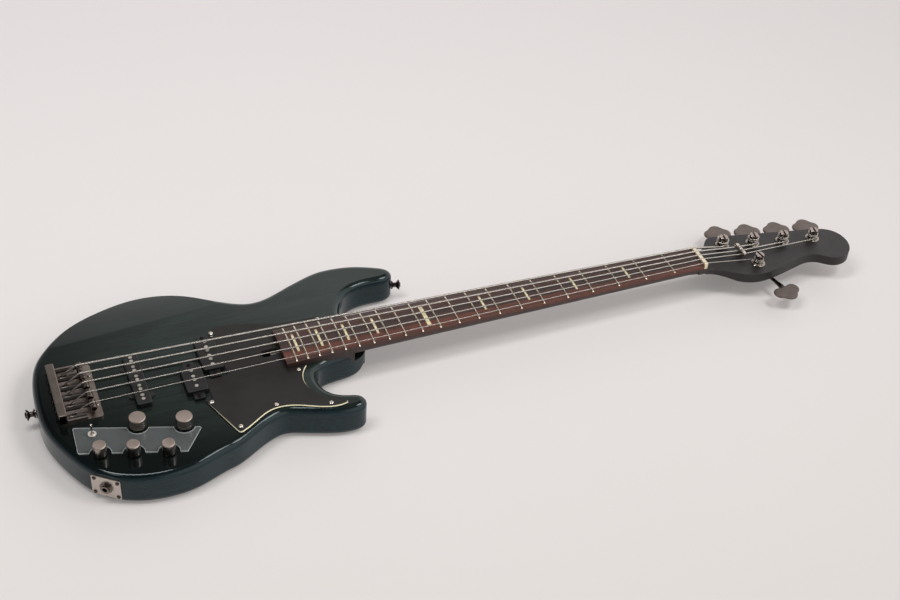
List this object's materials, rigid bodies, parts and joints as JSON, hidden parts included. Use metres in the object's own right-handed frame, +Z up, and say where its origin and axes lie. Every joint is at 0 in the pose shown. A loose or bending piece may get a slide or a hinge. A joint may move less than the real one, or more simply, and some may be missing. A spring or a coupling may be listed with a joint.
{
  "type": "electric bass guitar",
  "caption": "Solid-body electric bass guitar with a bolt-on neck, split and bar pickups, plate bridge with sliding saddles, clear control plate with knobs, and geared tuners.",
  "frame": {"origin": "on the centre line at the bridge's scale line, on the plane of the body's back", "axes": "+X along the neck to the headstock, +Y to the bass side, +Z up out of the body's top"},
  "size_m": [1.1926, 0.335, 0.0655],
  "materials": {
    "body_lacquer": "gloss",
    "neck_wood": "satin",
    "fingerboard_wood": "satin",
    "inlay": "gloss",
    "fret_wire": "polished",
    "nut_bone": "satin",
    "string_steel": "brushed",
    "guard_black": "matte",
    "guard_cream": "matte",
    "pickup_black": "satin",
    "coil_copper": "satin",
    "pole_steel": "satin",
    "black_nickel": "polished",
    "satin_nickel": "satin",
    "clear_acrylic": "gloss",
    "cover_black": "matte",
    "board_green": "satin",
    "battery_case": "satin",
    "rod_steel": "satin"
  },
  "bodies": {
    "instrument": {"body_wood": "body_lacquer", "neck": "neck_wood", "fingerboard": "fingerboard_wood", "inlays": "inlay", "frets": "fret_wire", "nut": "nut_bone", "strings": "string_steel", "pickguard_top_ply": "guard_black", "pickguard_lower_ply": "guard_cream", "split_pickup_covers": "pickup_black", "bridge_pickup_cover": "pickup_black", "pickup_coils": "coil_copper", "pole_pieces": "pole_steel", "bridge_plate": "black_nickel", "bridge_tail_block": "black_nickel", "bridge_screws": "black_nickel", "intonation_screws": "black_nickel", "tuner_bushings": "black_nickel", "tuner_plates": "black_nickel", "string_retainer": "black_nickel", "headstock_screws": "black_nickel", "strap_buttons": "black_nickel", "strap_screws": "black_nickel", "neck_plate": "black_nickel", "neck_screws": "black_nickel", "string_ferrules": "black_nickel", "pickguard_screws": "black_nickel", "pickup_screws": "black_nickel", "plate_screws": "black_nickel", "jack_plate": "satin_nickel", "jack_nut": "satin_nickel", "jack_socket": "satin_nickel", "toggle_switch": "satin_nickel", "pots": "satin_nickel", "control_plate": "clear_acrylic", "cavity_cover": "cover_black", "preamp_board": "board_green", "battery": "battery_case", "truss_rod": "rod_steel"},
    "saddle_1_body": {"saddle_1": "black_nickel"},
    "saddle_2_body": {"saddle_2": "black_nickel"},
    "saddle_3_body": {"saddle_3": "black_nickel"},
    "saddle_4_body": {"saddle_4": "black_nickel"},
    "saddle_5_body": {"saddle_5": "black_nickel"},
    "knob_volume_body": {"knob_volume": "black_nickel"},
    "knob_blend_body": {"knob_blend": "black_nickel"},
    "knob_bass_body": {"knob_bass": "black_nickel"},
    "knob_middle_body": {"knob_middle": "black_nickel"},
    "knob_treble_body": {"knob_treble": "black_nickel"},
    "toggle_lever_body": {"toggle_lever": "satin_nickel"},
    "tuner_post_1_body": {"tuner_post_1": "black_nickel"},
    "tuner_post_2_body": {"tuner_post_2": "black_nickel"},
    "tuner_post_3_body": {"tuner_post_3": "black_nickel"},
    "tuner_post_4_body": {"tuner_post_4": "black_nickel"},
    "tuner_post_5_body": {"tuner_post_5": "black_nickel"},
    "tuner_key_1_body": {"tuner_key_1": "black_nickel"},
    "tuner_key_2_body": {"tuner_key_2": "black_nickel"},
    "tuner_key_3_body": {"tuner_key_3": "black_nickel"},
    "tuner_key_4_body": {"tuner_key_4": "black_nickel"},
    "tuner_key_5_body": {"tuner_key_5": "black_nickel"}
  },
  "joints": [
    {"name": "saddle_1_slide", "type": "slide", "parent": "instrument", "child": "saddle_1_body", "axis": [1, 0, 0], "range_m": [-0.003, 0.003]},
    {"name": "saddle_2_slide", "type": "slide", "parent": "instrument", "child": "saddle_2_body", "axis": [1, 0, 0], "range_m": [-0.003, 0.003]},
    {"name": "saddle_3_slide", "type": "slide", "parent": "instrument", "child": "saddle_3_body", "axis": [1, 0, 0], "range_m": [-0.003, 0.003]},
    {"name": "saddle_4_slide", "type": "slide", "parent": "instrument", "child": "saddle_4_body", "axis": [1, 0, 0], "range_m": [-0.003, 0.003]},
    {"name": "saddle_5_slide", "type": "slide", "parent": "instrument", "child": "saddle_5_body", "axis": [1, 0, 0], "range_m": [-0.003, 0.003]},
    {"name": "knob_volume_turn", "type": "hinge", "parent": "instrument", "child": "knob_volume_body", "pos_m": [0.041, -0.078, 0.048], "axis": [0, 0, 1], "range_deg": [-150, 150]},
    {"name": "knob_blend_turn", "type": "hinge", "parent": "instrument", "child": "knob_blend_body", "pos_m": [0.095, -0.094, 0.048], "axis": [0, 0, 1], "range_deg": [-150, 150]},
    {"name": "knob_bass_turn", "type": "hinge", "parent": "instrument", "child": "knob_bass_body", "pos_m": [-0.011, -0.11, 0.048], "axis": [0, 0, 1], "range_deg": [-150, 150]},
    {"name": "knob_middle_turn", "type": "hinge", "parent": "instrument", "child": "knob_middle_body", "pos_m": [0.027, -0.121, 0.048], "axis": [0, 0, 1], "range_deg": [-150, 150]},
    {"name": "knob_treble_turn", "type": "hinge", "parent": "instrument", "child": "knob_treble_body", "pos_m": [0.067, -0.132, 0.048], "axis": [0, 0, 1], "range_deg": [-150, 150]},
    {"name": "toggle_throw", "type": "hinge", "parent": "instrument", "child": "toggle_lever_body", "pos_m": [-0.014, -0.076, 0.0485], "axis": [1, 0, 0], "range_deg": [-12, 12]},
    {"name": "tuner_1_key_turn", "type": "hinge", "parent": "instrument", "child": "tuner_key_1_body", "pos_m": [0.93676, 0.02484, 0.0225], "axis": [0.177, 0.9842, 0], "continuous": true},
    {"name": "tuner_1_post_turn", "type": "hinge", "parent": "instrument", "child": "tuner_post_1_body", "pos_m": [0.922, 0.0275, 0.043], "axis": [0, 0, 1], "continuous": true},
    {"name": "tuner_2_key_turn", "type": "hinge", "parent": "instrument", "child": "tuner_key_2_body", "pos_m": [0.98276, 0.01584, 0.0225], "axis": [0.177, 0.9842, 0], "continuous": true},
    {"name": "tuner_2_post_turn", "type": "hinge", "parent": "instrument", "child": "tuner_post_2_body", "pos_m": [0.968, 0.0185, 0.043], "axis": [0, 0, 1], "continuous": true},
    {"name": "tuner_3_key_turn", "type": "hinge", "parent": "instrument", "child": "tuner_key_3_body", "pos_m": [1.02876, 0.00734, 0.0225], "axis": [0.177, 0.9842, 0], "continuous": true},
    {"name": "tuner_3_post_turn", "type": "hinge", "parent": "instrument", "child": "tuner_post_3_body", "pos_m": [1.014, 0.01, 0.043], "axis": [0, 0, 1], "continuous": true},
    {"name": "tuner_4_key_turn", "type": "hinge", "parent": "instrument", "child": "tuner_key_4_body", "pos_m": [1.07576, -0.00016, 0.0225], "axis": [0.177, 0.9842, 0], "continuous": true},
    {"name": "tuner_4_post_turn", "type": "hinge", "parent": "instrument", "child": "tuner_post_4_body", "pos_m": [1.061, 0.0025, 0.043], "axis": [0, 0, 1], "continuous": true},
    {"name": "tuner_5_key_turn", "type": "hinge", "parent": "instrument", "child": "tuner_key_5_body", "pos_m": [0.9668, -0.02254, 0.0225], "axis": [0.1641, -0.9864, 0], "continuous": true},
    {"name": "tuner_5_post_turn", "type": "hinge", "parent": "instrument", "child": "tuner_post_5_body", "pos_m": [0.952, -0.025, 0.043], "axis": [0, 0, 1], "continuous": true}
  ],
  "couplings": [
    {"joint": "tuner_1_post_turn", "follows": "tuner_1_key_turn", "ratio": 0.05},
    {"joint": "tuner_2_post_turn", "follows": "tuner_2_key_turn", "ratio": 0.05},
    {"joint": "tuner_3_post_turn", "follows": "tuner_3_key_turn", "ratio": 0.05},
    {"joint": "tuner_4_post_turn", "follows": "tuner_4_key_turn", "ratio": 0.05},
    {"joint": "tuner_5_post_turn", "follows": "tuner_5_key_turn", "ratio": -0.05}
  ]
}
